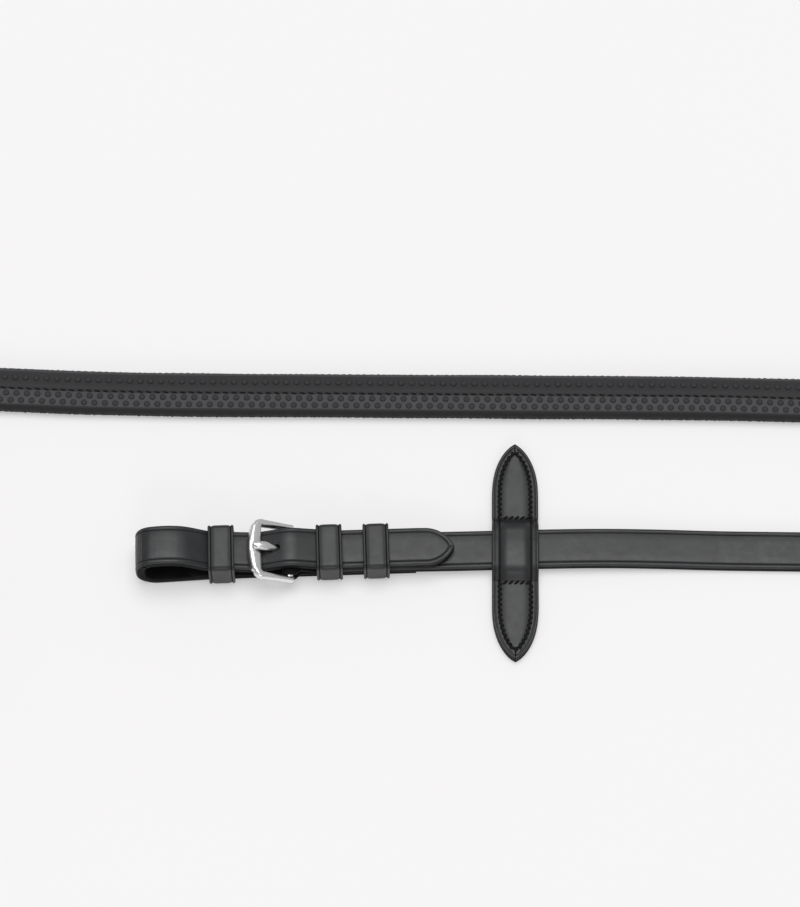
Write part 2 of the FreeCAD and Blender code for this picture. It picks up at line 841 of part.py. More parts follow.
def bit_end_pieces(side):
    """Everything of one rein that is the same at both ends of the pair."""
    place = bit_end(side)
    length = "keeper_length"
    keepers = [
        keeper(f"{side}_{name}_keeper", dim(f"{name}_keeper_place"), length, f"{name}_keeper_height", place)
        for name in ("front", "fixed", "slide")
    ]
    return [
        front_strap(side),
        grip_core(side),
        grip_cover(side),
        grip_seam(side),
        billet(side),
        loop_tab(side),
        *keepers,
        buckle_frame(f"{side}_buckle_frame", "frame_arm", "frame_tilt", place, BAR),
        buckle_tongue(f"{side}_buckle_tongue", "frame_tilt", place, BAR),
        stop_back(side),
        stop_top(side),
        stop_stitching(side),
    ]


def centre_pieces():
    """The buckle that joins the two reins, with its keepers. It lies level, on a straight stretch."""
    place = place_at(REIN)
    bar = Vector(0, 0, dim("centre_rise"))
    pieces = [
        hand_strap_left(),
        hand_strap_right(),
        buckle_frame("centre_buckle_frame", "small_arm", "centre_tilt", place, bar),
        buckle_tongue("centre_buckle_tongue", "centre_tilt", place, bar),
    ]
    wall, gap = dim("keeper_wall"), dim("fit_gap")
    low = -STRAP_THICK / 2 - gap - wall
    height = "2 * strap_thick + 4 * fit_gap + 2 * keeper_wall"
    for name in ("centre_keeper", "centre_slide"):
        along = REIN + dim(f"{name}_place")
        middle = along + dim("centre_keeper_length") / 2
        label = "centre_fixed_keeper" if name == "centre_keeper" else "centre_slide_keeper"
        start = -dim("centre_keeper_length") / 2
        pieces.append(keeper(label, start, "centre_keeper_length", height, place_at(middle), low))
    return pieces


def check(piece):
    """Stops where a piece has failed, is empty or isn't valid."""
    if {"Invalid", "Error"} & set(piece.State):
        raise RuntimeError(f"{piece.Label} failed: {piece.State}")
    shape = piece.Shape
    if shape.isNull() or not shape.isValid() or not shape.Solids:
        raise RuntimeError(f"{piece.Label} isn't a valid solid")


def main():
    nodes = bit_end_pieces("left") + bit_end_pieces("right") + centre_pieces()
    doc.recompute()
    for piece in doc.Objects:
        if {"Invalid", "Error"} & set(piece.State):
            raise RuntimeError(f"{piece.Label} failed: {piece.State}")
    os.makedirs("parts", exist_ok=True)
    for piece in nodes:
        check(piece)
        piece.Shape.exportStep(f"parts/{piece.Label}.step")
        print(f"{piece.Label}: {piece.Shape.Volume / 1000:.2f} cm3, {len(piece.Shape.Solids)} solid")
    for leg in ROUTE.legs:
        if leg.turn:
            print(f"bend of radius {leg.length / abs(leg.turn):.1f} mm")


main()
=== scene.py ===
import json
import math
import random

import bmesh
import bpy
import numpy as np
from mathutils import Matrix, Vector


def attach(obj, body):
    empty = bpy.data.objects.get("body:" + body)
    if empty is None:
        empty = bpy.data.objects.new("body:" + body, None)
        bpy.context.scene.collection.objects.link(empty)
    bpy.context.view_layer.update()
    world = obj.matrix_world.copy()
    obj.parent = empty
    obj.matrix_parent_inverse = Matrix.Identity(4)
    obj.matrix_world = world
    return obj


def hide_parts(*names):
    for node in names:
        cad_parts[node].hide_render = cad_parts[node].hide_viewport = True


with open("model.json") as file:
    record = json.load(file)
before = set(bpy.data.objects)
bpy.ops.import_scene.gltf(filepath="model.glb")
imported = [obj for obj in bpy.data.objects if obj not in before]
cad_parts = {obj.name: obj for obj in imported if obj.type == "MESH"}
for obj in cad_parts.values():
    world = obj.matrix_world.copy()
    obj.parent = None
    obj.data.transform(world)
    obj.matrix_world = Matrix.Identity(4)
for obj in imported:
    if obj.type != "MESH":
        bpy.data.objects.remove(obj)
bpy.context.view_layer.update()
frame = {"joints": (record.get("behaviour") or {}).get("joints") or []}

# The looks of a pair of leather riding reins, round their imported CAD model.
#
# Pieces are drawn in millimetres and brought to metres as their meshes are made. A place is a
# (middle, across, grain) triple: a point of a strap, the way its width runs and the way its
# grain side faces. An outline is the section there, as (across, grain) pairs.

MM = 0.001
AHEAD = Vector((1, 0, 0))
ACROSS = Vector((0, 1, 0))
UP = Vector((0, 0, 1))
TO_METRES = Matrix.Scale(MM, 4)
SIDES = ("left", "right")

# Straps
STRAP_HALF = 8.25
STRAP_THICK = 3.4
CREASE_IN = 1.9  # from a strap's edge to its creased line
GRIP_HALF = 9.3
GRIP_THICK = 6.2

# Lengths along a rein, from the tip of its bit loop
REIN = 1524.0
GRIP_START = 502.0
GRIP_END = 1264.0
FOLD_END = 72.0

# Bit end
BAR_X = 61.2
BAR_Z = 7.0
BAR_RADIUS = 1.4
SPLICE = 3.3  # how high the strap lies there, on the billet's tail
BILLET_THICK = 3.8
SKIVED = 1.6  # the thickness of that tail
LOOP = 10.0  # half the height of the loop
TAIL_END = 112.0
BILLET_TIP = 127.6
POINT_LENGTH = 11.8
TONGUE_HOLE = (53.0, 57.9)
FOLD_THICK = 1.5
FOLD_GAP = 2.1  # from the middle of a strap to the fold on each side of its buckle's tongue
FRAME_TILT = 26.6
TONGUE_RISE = 8.6

# Keepers
KEEPER_WALL = 1.4
KEEPER_GAP = 0.35
BIT_KEEPER_LENGTH = 10.4
CENTRE_KEEPER_LENGTH = 8.0

# Rein stop
STOP_X = 152.2
STOP_TURN = -2.5
STOP_HALF_SPAN = 47.5
STOP_HALF = 9.35
STOP_THICK = 1.7
STOP_POINT = 24.0
TUNNEL_HALF = 13.2
BORDER_IN = 1.2  # from a stop's edge to its creased line
STITCH_IN = 3.1  # from a stop's edge to its stitching
STOP_PITCH = 2.3
STOP_SLANT = 38.0
STOP_BEAD = (2.8, 1.25, 1.0)

# The lay
FLAT_RUN = 150.0
SWAY_RADIUS = 1500.0
SWAY = math.radians(2.7)
SECOND_RUN = 119.1
TWIST = 60.0
TURN_RADIUS = 32.57
TURN = math.radians(179)
RETURN_RUNS = (90.0, 201.0, 26.0)
RETURN_SWAYS = (math.radians(1.3), -math.radians(1.95), math.radians(1.45))
COIL_LEAD = 15.0
COIL_INNER = 64.0
COIL_INNER_GAP = 16.0
COIL_GAP = 8.0
COIL_STRAIGHT = 36.0
END_RUN = 225.0
CENTRE_RISE = 2.0
CENTRE_FOLD = 14.8
CENTRE_TIP = 76.0
CENTRE_TILT = 16.0
CENTRE_HOLE = (-11.8, -1.0)
OVER_BAR = 3.65  # from the middle of the centre buckle's bar to the strap that goes over its fold

JOINTS = {joint["name"]: joint for joint in frame["joints"]}


# ------------ meshes


def add_object(name, verts, faces, materials, place=TO_METRES, indices=None, smooth=True):
    """A mesh object from millimetre points. indices gives each face's material."""
    mesh = bpy.data.meshes.new(name)
    mesh.from_pydata([place @ Vector(v) for v in verts], [], faces)
    for material in materials:
        mesh.materials.append(material)
    if indices is not None:
        mesh.polygons.foreach_set("material_index", indices)
    mesh.polygons.foreach_set("use_smooth", [smooth] * len(mesh.polygons))
    mesh.update()
    piece = bpy.data.objects.new(name, mesh)
    bpy.context.scene.collection.objects.link(piece)
    return piece


def ring_faces(base, around, rings, closed=False):
    """The faces between rings of points that follow one another, from the point numbered base."""
    faces = []
    for ring in range(rings if closed else rings - 1):
        here = base + ring * around
        there = base + (ring + 1) % rings * around
        for i in range(around):
            j = (i + 1) % around
            faces.append((here + i, here + j, there + j, there + i))
    return faces


def skin(places, outlines, closed=False):
    """Points and faces of a skin through one outline at each place, capped unless it closes."""
    verts = []
    for (middle, across, grain), outline in zip(places, outlines):
        verts += [middle + across * a + grain * g for a, g in outline]
    around = len(outlines[0])
    rings = len(places)
    faces = ring_faces(0, around, rings, closed)
    if not closed:
        faces.append(tuple(reversed(range(around))))
        faces.append(tuple(range((rings - 1) * around, rings * around)))
    return verts, faces


def joined(*skins):
    """The points and faces of several skins as one."""
    verts, faces = [], []
    for more, more_faces in skins:
        faces += [tuple(i + len(verts) for i in face) for face in more_faces]
        verts += more
    return verts, faces


def mirrored(right, middle=()):
    """A whole outline from its right half and what is on its middle."""
    return right + [*middle] + [(-a, g) for a, g in reversed(right)]


def side_place(spot, direction, y=0.0):
    """The place of a point of a side view, which is a plane along the strap and up."""
    return Vector((spot.x, y, spot.y)), ACROSS, Vector((-direction.y, 0, direction.x))


def axes(ahead, across, up):
    """The rotation that takes X, Y and Z to three directions."""
    return Matrix((ahead, across, up)).transposed().to_4x4()


def add_strip(name, places, outlines, edge_and_shade_spans, place=TO_METRES, closed=False):
    """Leather swept through outlines that are the same on both sides of their middle. The given
    spans get the darker edge leather: the cut edge, whose darker colour is partly painted shade, and the
    creases, darkened as painted shade. The last span is the flesh side."""
    verts, faces = skin(places, outlines, closed)
    around = len(outlines[0])
    dark = {around - 1, *edge_and_shade_spans, *(around - 2 - span for span in edge_and_shade_spans)}
    caps = 0 if closed else 2
    indices = [int(n % around in dark) for n in range(len(faces) - caps)] + [1] * caps
    return add_object(name, verts, faces, [LEATHER, FLESH_AND_SHADE], place, indices)


def face_outward(piece):
    """Turns the faces of each closed skin outward."""
    work = bmesh.new()
    work.from_mesh(piece.data)
    bmesh.ops.recalc_face_normals(work, faces=work.faces)
    work.to_mesh(piece.data)
    work.free()


def finish_piece(piece, body, slot, *nodes):
    """The last steps of every piece: its faces, its body and its CAD nodes. Its slot is not used."""
    face_outward(piece)
    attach(piece, body)
    if nodes:
        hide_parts(*nodes)


def add_piece(name, mesh, material, place, body, slot, *nodes):
    """A finished piece of one material from its points and faces."""
    finish_piece(add_object(name, *mesh, [material], place), body, slot, *nodes)


def cut_out(piece, cutter):
    """Cuts one mesh out of another and removes the cutter."""
    face_outward(piece)
    modifier = piece.modifiers.new("cut", "BOOLEAN")
    modifier.operation = "DIFFERENCE"
    modifier.solver = "MANIFOLD"
    modifier.object = cutter
    bpy.context.view_layer.update()
    graph = bpy.context.evaluated_depsgraph_get()
    cut = bpy.data.meshes.new_from_object(piece.evaluated_get(graph))
    piece.modifiers.clear()
    piece.data = cut
    bpy.data.objects.remove(cutter)


def rounded_path(points, radii, step):
    """(point, direction) pairs along straight runs joined by arcs, in a plane."""
    points = [Vector(point) for point in points]
    runs = [(b - a).normalized() for a, b in zip(points, points[1:])]
    found = []
    begin = points[0]
    for i, radius in enumerate(radii, start=1):
        before, after = runs[i - 1], runs[i]
        turn = math.atan2(before.x * after.y - before.y * after.x, before.dot(after))
        reach = radius * math.tan(abs(turn) / 2)
        arc_start = points[i] - before * reach
        found += straight_points(begin, arc_start, step)
        side = Vector((-before.y, before.x)) * math.copysign(1, turn)
        centre = arc_start + side * radius
        steps = max(2, math.ceil(abs(turn) / math.radians(7)))
        for k in range(steps + 1):
            angle = turn * k / steps
            spin = Matrix.Rotation(angle, 2)
            found.append((centre - spin @ side * radius, spin @ before))
        begin = points[i] + after * reach
    found += straight_points(begin, points[-1], step)
    found.append((points[-1], runs[-1]))
    kept = found[:1]
    for spot, direction in found[1:]:
        if (spot - kept[-1][0]).length > 0.02:
            kept.append((spot, direction))
    return kept


def straight_points(start, end, step):
    """(point, direction) pairs along a straight run, without its end."""
    length = (end - start).length
    if length < 1e-6:
        return []
    count = max(1, math.ceil(length / step))
    return [(start.lerp(end, i / count), (end - start).normalized()) for i in range(count)]


def smooth_step(low, high, value):
    """From 0 at low to 1 at high, level at both."""
    t = min(1.0, max(0.0, (value - low) / (high - low)))
    return t * t * (3 - 2 * t)


def knots(table, value):
    """A value between the knots of a table, changing smoothly."""
    for (a, low), (b, high) in zip(table, table[1:]):
        if value <= b:
            return low + (high - low) * smooth_step(a, b, value)
    return table[-1][1]


# ------------ materials


class Nodes:
    """A material's node tree, with short calls for what the materials here use."""

    def __init__(self, name):
        self.material = bpy.data.materials.new(name)
        self.material.use_nodes = True
        self.tree = self.material.node_tree
        self.shader = self.tree.nodes["Principled BSDF"]
        self.where = self.tree.nodes.new("ShaderNodeTexCoord").outputs["Object"]

    def link(self, source, node, socket):
        self.tree.links.new(source, node.inputs[socket])

    def texture(self, kind, scale, **sockets):
        """A texture, whose scale is in features per metre."""
        node = self.tree.nodes.new(kind)
        self.link(self.where, node, "Vector")
        node.inputs["Scale"].default_value = scale
        for socket, value in sockets.items():
            node.inputs[socket].default_value = value
        return node

    def ramp(self, source, stops):
        node = self.tree.nodes.new("ShaderNodeValToRGB")
        elements = node.color_ramp.elements
        while len(elements) < len(stops):
            elements.new(0.5)
        for element, (position, value) in zip(elements, stops):
            element.position = position
            color = value if isinstance(value, tuple) else (value, value, value)
            element.color = (*color, 1.0)
        self.link(source, node, "Fac")
        return node.outputs["Color"]

    def bump(self, source, distance, strength, under=None):
        node = self.tree.nodes.new("ShaderNodeBump")
        node.inputs["Distance"].default_value = distance
        node.inputs["Strength"].default_value = strength
        self.link(source, node, "Height")
        if under is not None:
            self.link(under, node, "Normal")
        return node.outputs["Normal"]

    def set(self, **values):
        """Sets sockets of the shader to constants."""
        for socket, value in values.items():
            self.shader.inputs[socket.replace("_", " ")].default_value = value

    def paint(self, **sources):
        """Links outputs to sockets of the shader."""
        for socket, source in sources.items():
            self.link(source, self.shader, socket.replace("_", " "))


def leather(name, dark, light, low_gloss, high_gloss, grain, wax_coat, shine):
    """Waxed black leather: fine pores, a slow change of tone and a soft uneven sheen."""
    nodes = Nodes(name)
    tone = nodes.texture("ShaderNodeTexNoise", 90, Detail=6.0, Roughness=0.6)
    color = nodes.ramp(tone.outputs["Fac"], [(0.3, dark), (0.72, light)])
    wax = nodes.texture("ShaderNodeTexNoise", 260, Detail=5.0, Roughness=0.65)
    roughness = nodes.ramp(wax.outputs["Fac"], [(0.3, low_gloss), (0.75, high_gloss)])
    cells = nodes.texture("ShaderNodeTexVoronoi", 2600)
    pores = nodes.texture("ShaderNodeTexNoise", 5200, Detail=4.0, Roughness=0.7)
    coarse = nodes.bump(cells.outputs["Distance"], 0.00008, grain)
    normal = nodes.bump(pores.outputs["Fac"], 0.00006, grain, coarse)
    nodes.paint(Base_Color=color, Roughness=roughness, Normal=normal)
    nodes.set(Coat_Weight=wax_coat, Coat_Roughness=0.35, Specular_IOR_Level=shine)
    return nodes.material


def rubber(name, dark, light):
    """Matt rubber with a dusty, faintly pitted surface."""
    nodes = Nodes(name)
    dust = nodes.texture("ShaderNodeTexNoise", 420, Detail=7.0, Roughness=0.7)
    color = nodes.ramp(dust.outputs["Fac"], [(0.32, dark), (0.7, light)])
    roughness = nodes.ramp(dust.outputs["Fac"], [(0.3, 0.62), (0.7, 0.8)])
    pits = nodes.texture("ShaderNodeTexNoise", 4200, Detail=5.0, Roughness=0.7)
    normal = nodes.bump(pits.outputs["Fac"], 0.0001, 0.5)
    nodes.paint(Base_Color=color, Roughness=roughness, Normal=normal)
    nodes.set(Specular_IOR_Level=0.42)
    return nodes.material


def thread(name):
    """Waxed black thread, twisted from strands."""
    nodes = Nodes(name)
    strands = nodes.texture("ShaderNodeTexWave", 900, Distortion=2.0)
    strands.bands_direction = "DIAGONAL"
    color = nodes.ramp(strands.outputs["Fac"], [(0.2, 0.002), (0.9, 0.008)])
    normal = nodes.bump(strands.outputs["Fac"], 0.0002, 0.8)
    nodes.paint(Base_Color=color, Normal=normal)
    nodes.set(Roughness=0.6, Specular_IOR_Level=0.2)
    return nodes.material


def steel(name):
    """Polished steel with fine wipe marks."""
    nodes = Nodes(name)
    marks = nodes.texture("ShaderNodeTexNoise", 700, Detail=8.0, Roughness=0.75)
    color = nodes.ramp(marks.outputs["Fac"], [(0.3, (0.78, 0.78, 0.79)), (0.7, (0.87, 0.87, 0.87))])
    roughness = nodes.ramp(marks.outputs["Fac"], [(0.3, 0.26), (0.7, 0.36)])
    normal = nodes.bump(marks.outputs["Fac"], 0.00004, 0.12)
    nodes.paint(Base_Color=color, Roughness=roughness, Normal=normal)
    nodes.set(Metallic=1.0)
    return nodes.material


LEATHER = leather(
    "leather_black", (0.011, 0.0118, 0.0128), (0.02, 0.0214, 0.0228), 0.36, 0.5, 0.26, 0.15, 0.34
)
# The darker, duller leather of flesh sides and cut edges. Its darker colour is partly painted shade on the
# strap sides, and it stands as painted shade in creases and stitch dents.
FLESH_AND_SHADE = leather("leather_edge_and_shade", (0.004, 0.004, 0.0045), (0.009, 0.0088, 0.009), 0.5, 0.68, 0.8, 0.0, 0.07)
RUBBER_PALE = rubber("rubber_ground", (0.032, 0.032, 0.035), (0.058, 0.058, 0.062))
RUBBER_EDGE = rubber("rubber_edge", (0.003, 0.003, 0.0035), (0.013, 0.013, 0.014))
RUBBER_DARK = rubber("rubber_dark", (0.011, 0.011, 0.0125), (0.024, 0.024, 0.0265))
THREAD = thread("thread_black")
STEEL = steel("steel_polished")


# ------------ sections


STRAP_EDGE_AND_SHADE = (0, 1, 2, 8)  # the spans of the next outline in the darker edge leather: its cut edge, whose darker colour is partly painted shade, and its crease bottom, darkened as painted shade


def leather_outline(half, low, high, crease, crown=0.05):
    """A strap's section: rounded edges, and on the grain side a line creased in beside each edge.
    crease is how far each line is from the middle."""
    edge = min(0.6, half * 0.5)
    line = max(crease, 0.0)
    groove = min(0.3, line * 0.3 + 0.01)
    depth = 0.3 * min(1.0, line / 1.5)
    rim = (half + line) / 2
    right = [
        (half - edge, low),
        (half - edge * 0.3, low + edge * 0.3),
        (half, low + edge),
        (half, high - edge * 1.2),
        (half - edge * 0.3, high - edge * 0.5),
        (half - edge, high - edge * 0.12),
        (max(rim, half - edge * 1.6), high + 0.03),
        (line + groove * 1.4, high + 0.01),
        (line + groove * 0.4, high - depth),
        (line - groove * 0.4, high - depth),
        (line - groove, high - depth * 0.2),
        (line - groove * 2.2, high + 0.01),
        (line * 0.45, high + crown),
    ]
    return mirrored(right, [(0.0, high + crown)])


def plain_outline(half, low, high):
    """A section with softened corners and nothing on it."""
    r = min(0.3, half * 0.3)
    right = [(half - r, low), (half, low + r), (half, high - r), (half - r, high)]
    return mirrored(right)


def ogive(length, half, past):
    """Half the width of a pointed end at a distance past where its sides begin to curve in."""
    if past <= 0:
        return half
    radius = (length**2 + half**2) / (2 * half)
    return max(0.05, half - radius + math.sqrt(max(0.0, radius**2 - min(past, length) ** 2)))


def ogive_line(length, half, past, inside):
    """The same for a line drawn inside the edge, by its distance from it. Negative past its tip."""
    if past <= 0:
        return half - inside
    radius = (length**2 + half**2) / (2 * half)
    return half - radius + math.sqrt(max(0.0, (radius - inside) ** 2 - past**2))


# ------------ the lay of the straps


def lean_at(along):
    """How far a strap is turned about its length, in radians."""
    return sum(math.pi / 2 * smooth_step(start, start + TWIST, along) for start in TWIST_STARTS)


def lift_at(along):
    """How far a bare strap is raised off the floor, by the distance from its own bit loop."""
    from_tip = min(along, 2 * REIN - along)
    low = STOP_THICK + 0.3
    step = GRIP_HALF - STRAP_HALF
    table = [(0, SPLICE), (TAIL_END, SPLICE), (140, low), (195, low), (225, 0), (400, 0)]
    table += [(GRIP_START, step), (GRIP_END, step), (REIN - 24, 3.4), (REIN, 3.4)]
    return knots(table, from_tip)


def height_at(along):
    """The height of a strap's middle above the floor."""
    lean = lean_at(along)
    from_tip = min(along, 2 * REIN - along)
    on_grip = GRIP_START < from_tip < GRIP_END
    half, thick = (GRIP_HALF, GRIP_THICK) if on_grip else (STRAP_HALF, STRAP_THICK)
    rise = 0.0 if on_grip else lift_at(along)
    return abs(math.sin(lean)) * half + abs(math.cos(lean)) * thick / 2 + rise


class Walk:
    """The control points of the pair's middle line, set down while walking along it."""

    def __init__(self, start):
        self.spot = Vector((start.x, start.y))
        self.heading = 0.0
        self.along = 0.0
        self.points = []

    def go(self, length):
        self.spot += Vector((math.cos(self.heading), math.sin(self.heading))) * length
        self.along += length

    def mark(self):
        self.points.append((self.spot.x, self.spot.y, height_at(self.along)))

    def straight(self, length, first, last, count):
        """A straight run, with its points from first after its start to last before its end."""
        self.go(first)
        for i in range(count):
            self.mark()
            if i < count - 1:
                self.go((length - first - last) / (count - 1))
        self.go(last)

    def bend(self, radius, angle, count):
        """A bend to the left where the angle is positive. Its points stand outside it."""
        half = angle / count / 2
        reach = radius * math.tan(abs(half))
        stretch = radius * abs(half) / reach
        for _ in range(count):
            self.go(reach)
            self.along += reach * (stretch - 1)
            self.mark()
            self.heading += 2 * half
            self.go(reach)
            self.along += reach * (stretch - 1)


def sway_length(angle):
    return SWAY_RADIUS * abs(angle)


FIRST_TWIST = FLAT_RUN + sway_length(SWAY) + SECOND_RUN
SECOND_TWIST = FIRST_TWIST + TWIST + TURN_RADIUS * TURN
RETURN = sum(RETURN_RUNS) + sum(sway_length(angle) for angle in RETURN_SWAYS[:2])
THIRD_TWIST = SECOND_TWIST + TWIST + RETURN
COIL_ENTRY = THIRD_TWIST + TWIST + sway_length(RETURN_SWAYS[2]) + COIL_LEAD
TWIST_STARTS = (FIRST_TWIST, SECOND_TWIST, THIRD_TWIST, 2 * REIN - END_RUN - TWIST)


def walk_route(start):
    """The whole pair: the left rein's flat run, its turn and return, the coil, the right rein's end."""
    walk = Walk(start)
    walk.straight(FLAT_RUN, 0, 20, 6)
    walk.bend(SWAY_RADIUS, -SWAY, 3)
    walk.straight(SECOND_RUN, 12, 0, 6)
    walk.straight(TWIST, 6, 3, 9)
    walk.bend(TURN_RADIUS, TURN, 18)
    walk.straight(TWIST, 3, 6, 9)
    for length, sway in zip(RETURN_RUNS, RETURN_SWAYS[:2]):
        walk.straight(length, 6, 6, max(2, round(length / 25)))
        walk.bend(SWAY_RADIUS, sway, 2)
    walk.straight(RETURN_RUNS[2], 6, 6, 2)
    walk.straight(TWIST, 6, 6, 9)
    walk.bend(SWAY_RADIUS, RETURN_SWAYS[2], 3)
    walk.straight(COIL_LEAD, 2, 6, 2)
    crossings = [COIL_INNER + COIL_INNER_GAP * i for i in range(3)]
    crossings.append(crossings[-1] + COIL_GAP)
    radii = [COIL_INNER / 2] + [(a + b) / 2 for a, b in zip(crossings, crossings[1:])]
    inside = 2 * math.pi * sum(radii[:-1]) + 7 * COIL_STRAIGHT
    spare = 2 * REIN - COIL_ENTRY - inside - TWIST - END_RUN
    part = spare / (2 * radii[-1])
    walk.bend(radii[-1], part, 8)
    for radius in reversed(radii[:-1]):
        walk.straight(COIL_STRAIGHT, 7, 6, 2)
        walk.bend(radius, math.pi, 20 if radius > COIL_INNER else 14)
    walk.straight(COIL_STRAIGHT, 4, 4, 3)
    for radius in radii[:-1]:
        walk.bend(radius, -math.pi, 20 if radius > COIL_INNER else 14)
        walk.straight(COIL_STRAIGHT, 6, 7, 2)
    walk.bend(radii[-1], -part, 8)
    walk.straight(TWIST, 8, 6, 9)
    walk.straight(END_RUN, 0, 0, 9)
    return walk.points


def smooth_line(points):
    """Points along the spline that the control points shape."""
    curve = bpy.data.curves.new("route", "CURVE")
    curve.dimensions = "3D"
    spline = curve.splines.new("NURBS")
    spline.points.add(len(points) - 1)
    for point, co in zip(spline.points, points):
        point.co = (*co, 1.0)
    spline.order_u = 3
    spline.use_endpoint_u = True
    spline.resolution_u = 8
    holder = bpy.data.objects.new("route", curve)
    mesh = bpy.data.meshes.new_from_object(holder)
    line = np.array([v.co for v in mesh.vertices], float)
    bpy.data.objects.remove(holder)
    bpy.data.meshes.remove(mesh)
    return line


class Lay:
    """The pair's middle line, and how the strap faces at each distance along it."""

    def __init__(self, line):
        steps = np.linalg.norm(np.diff(line, axis=0), axis=1)
        keep = np.concatenate([[True], steps > 1e-6])
        self.line = line[keep]
        steps = np.linalg.norm(np.diff(self.line, axis=0), axis=1)
        self.along = np.concatenate([[0.0], np.cumsum(steps)])
        self.along *= 2 * REIN / self.along[-1]
        ahead = np.gradient(self.line, self.along, axis=0)
        self.heading = np.unwrap(np.arctan2(ahead[:, 1], ahead[:, 0]))

    def at(self, along):
        """(middle, ahead, across, grain) there."""
        middle = Vector([float(np.interp(along, self.along, self.line[:, i])) for i in range(3)])
        heading = float(np.interp(along, self.along, self.heading))
        lean = lean_at(along)
        ahead = Vector((math.cos(heading), math.sin(heading), 0))
        left = Vector((-math.sin(heading), math.cos(heading), 0))
        across = left * math.cos(lean) + UP * math.sin(lean)
        grain = UP * math.cos(lean) - left * math.sin(lean)
        return middle, ahead, across, grain

    def place(self, along):
        middle, _, across, grain = self.at(along)
        return middle, across, grain

    def matrix(self, along):
        """Local millimetres, X along the strap and Z out of its grain side, to metres."""
        middle, ahead, across, grain = self.at(along)
        return TO_METRES @ Matrix.Translation(middle) @ axes(ahead, across, grain)

    def path(self, first, last):
        """The line's own points between two distances, in metres."""
        inside = self.line[(self.along >= first) & (self.along <= last)]
        return (inside * MM).tolist()


def bit_matrix(side):
    """A bit end's own millimetres, X from its loop's tip along the strap, to metres."""
    hinge = JOINTS[f"{side}_buckle_frame_hinge"]
    across = Vector(hinge["axis"]).normalized()
    ahead = across.cross(UP)
    origin = Vector(hinge["pos_m"]) / MM - ahead * BAR_X - UP * BAR_Z
    return TO_METRES @ Matrix.Translation(origin) @ axes(ahead, across, UP)


BIT = {side: bit_matrix(side) for side in SIDES}
LAY = Lay(smooth_line(walk_route(BIT["left"].translation / MM)))


# ------------ camera, floor and light


VIEW_ELEVATION = math.radians(64)
VIEW_TURN = math.radians(-1.95)
VIEW_DISTANCE = 1.6
VIEW_ALONG = 105.8  # where the picture's middle is, from the loop's tip
VIEW_BEYOND = 46.55
VIEW_LENS = 176.4


def add_camera():
    right = Vector((math.cos(VIEW_TURN), math.sin(VIEW_TURN), 0))
    forward = Vector((-math.sin(VIEW_TURN), math.cos(VIEW_TURN), 0))
    target = BIT["left"] @ Vector((VIEW_ALONG, 0, 0)) + forward * VIEW_BEYOND * MM
    toward = forward * math.cos(VIEW_ELEVATION) - UP * math.sin(VIEW_ELEVATION)
    data = bpy.data.cameras.new("camera")
    data.sensor_fit = "HORIZONTAL"
    data.sensor_width = 36.0
    data.lens = VIEW_LENS
    data.clip_end = 20.0
    camera = bpy.data.objects.new("camera", data)
    bpy.context.scene.collection.objects.link(camera)
    facing = axes(right, (-toward).cross(right), -toward)
    camera.matrix_world = Matrix.Translation(target - toward * VIEW_DISTANCE) @ facing
    bpy.context.scene.camera = camera


def add_floor():
    nodes = Nodes("floor_pale")
    shade = nodes.texture("ShaderNodeTexNoise", 3, Detail=2.0)
    tone = nodes.ramp(shade.outputs["Fac"], [(0.0, (0.475, 0.468, 0.472)), (1.0, (0.485, 0.478, 0.482))])
    nodes.paint(Base_Color=tone)
    nodes.set(Roughness=0.9, Specular_IOR_Level=0.2)
    nodes.set(Emission_Color=(1.0, 0.99, 1.0, 1.0), Emission_Strength=0.39)
    size = 6000
    corners = [(-size, -size, 0), (size, -size, 0), (size, size, 0), (-size, size, 0)]
    add_object("floor", corners, [(0, 1, 2, 3)], [nodes.material], smooth=False)


def add_light():
    """A pale surround, a very broad soft light above and behind the reins, and a weak low one in front."""
    world = bpy.data.worlds.new("studio")
    world.use_nodes = True
    surround = world.node_tree.nodes["Background"]
    surround.inputs["Color"].default_value = (1.0, 0.995, 1.0, 1.0)
    surround.inputs["Strength"].default_value = 0.43
    bpy.context.scene.world = world
    bpy.context.scene.view_settings.view_transform = "Standard"
    for name, energy, width, tilt in (("key", 2.0, 46, -10), ("front", 0.42, 24, 62)):
        data = bpy.data.lights.new(name, "SUN")
        data.energy = energy
        data.angle = math.radians(width)
        light = bpy.data.objects.new(name, data)
        bpy.context.scene.collection.objects.link(light)
        light.matrix_world = Matrix.Rotation(math.radians(tilt), 4, "X")


add_camera()
add_floor()
add_light()


# ------------ reins


def hand_offset(along):
    """How far the left strap stands off its own line where it goes through the centre buckle."""
    half = STRAP_THICK / 2
    over = CENTRE_RISE + OVER_BAR + half
    table = [(REIN - 30, 0), (REIN - 13, 0.3 + half), (REIN - 3, over), (REIN + 2, over)]
    table += [(REIN + CENTRE_FOLD + 1, 2 * half + 0.2), (REIN + CENTRE_TIP, 2 * half + 0.2)]
    return knots(table, along)


def rein_samples(first, last):
    """Distances between first and last, closer together on bare leather than inside a grip."""
    found, along = [], first
    while along < last:
        found.append(along)
        from_tip = min(along, 2 * REIN - along)
        along += 6.0 if GRIP_START + 6 < from_tip < GRIP_END - 6 else 2.5
    return found + [last]


def rein_outline(side, along):
    """The leather's section at a distance along the whole route."""
    half, thick = STRAP_HALF, STRAP_THICK / 2
    from_tip = min(along, 2 * REIN - along)
    if GRIP_START + 1 < from_tip < GRIP_END - 1:
        return leather_outline(half - 0.2, -thick + 0.2, thick - 0.2, half - CREASE_IN)
    if side == "left" and along > REIN - 40:
        past = along - (REIN + CENTRE_TIP - POINT_LENGTH)
        width = ogive(POINT_LENGTH, half, past)
        crease = ogive_line(POINT_LENGTH, half, past, CREASE_IN)
        shift = hand_offset(along)
        return leather_outline(width, shift - thick, shift + thick, crease)
    return leather_outline(half, -thick, thick, half - CREASE_IN)


